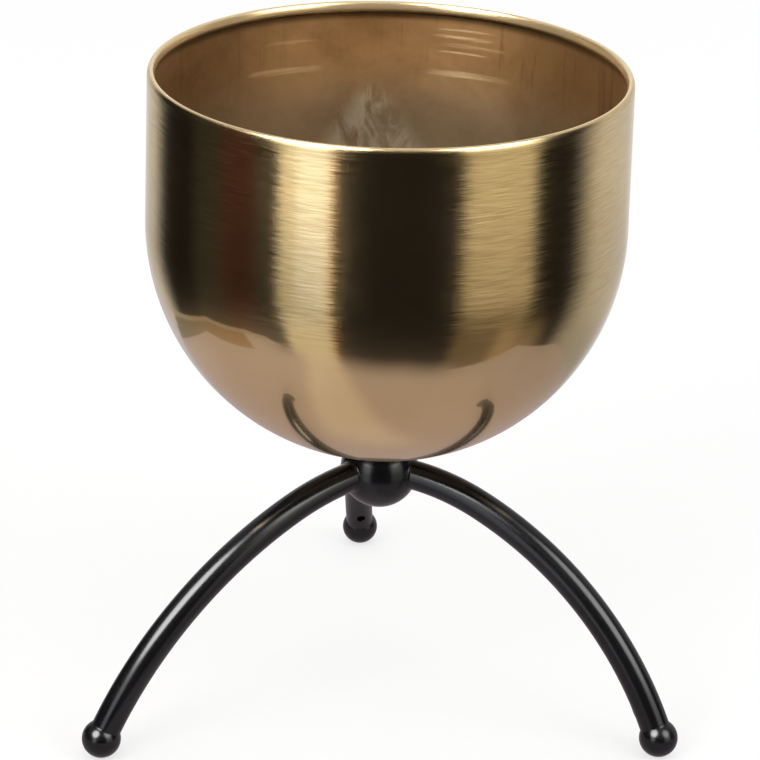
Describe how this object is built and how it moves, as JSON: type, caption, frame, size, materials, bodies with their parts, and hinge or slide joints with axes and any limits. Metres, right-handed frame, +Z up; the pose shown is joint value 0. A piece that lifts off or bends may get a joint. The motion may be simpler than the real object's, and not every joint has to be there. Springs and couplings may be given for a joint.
{
  "type": "planter on legs",
  "caption": "Round-bottomed brushed brass planter pot with a rolled rim, held by a central screw on a black tripod of curved tubes with ball feet.",
  "frame": {"origin": "middle of the bounding box in plan, on the floor plane; the pot's axis stands 22.03 mm towards -Y of it", "axes": "+Z up along the pot's axis, +Y towards the rear leg, +X towards the front right leg's side"},
  "size_m": [0.2526, 0.245, 0.2815],
  "materials": {
    "brass_pot": "brushed brass finish, rim and bowl smoother",
    "black_paint": "satin to gloss black paint",
    "rubber_pad": "plain black rubber",
    "zinc_steel": "bright zinc plate"
  },
  "bodies": {
    "stand": {"hub_ball": "black_paint", "leg_rear": "black_paint", "leg_front_left": "black_paint", "leg_front_right": "black_paint", "foot_rear": "black_paint", "foot_front_left": "black_paint", "foot_front_right": "black_paint", "weld_hub_rear": "black_paint", "weld_hub_front_left": "black_paint", "weld_hub_front_right": "black_paint", "weld_foot_rear": "black_paint", "weld_foot_front_left": "black_paint", "weld_foot_front_right": "black_paint"},
    "seat": {"seat_pad": "rubber_pad"},
    "pot": {"pot": "brass_pot"},
    "fixing": {"seal_washer": "rubber_pad", "flat_washer": "zinc_steel", "fixing_screw": "zinc_steel"}
  },
  "joints": [
    {"name": "pot_turn", "type": "hinge", "parent": "stand", "child": "seat", "pos_m": [0, -0.02202, 0.115], "axis": [0, 0, 1], "continuous": true},
    {"name": "pot_lift", "type": "slide", "parent": "seat", "child": "pot", "axis": [0, 0, 1], "range_m": [0, 0.06]},
    {"name": "screw_out", "type": "slide", "parent": "pot", "child": "fixing", "axis": [0, 0, 1], "range_m": [0, 0.19]}
  ]
}
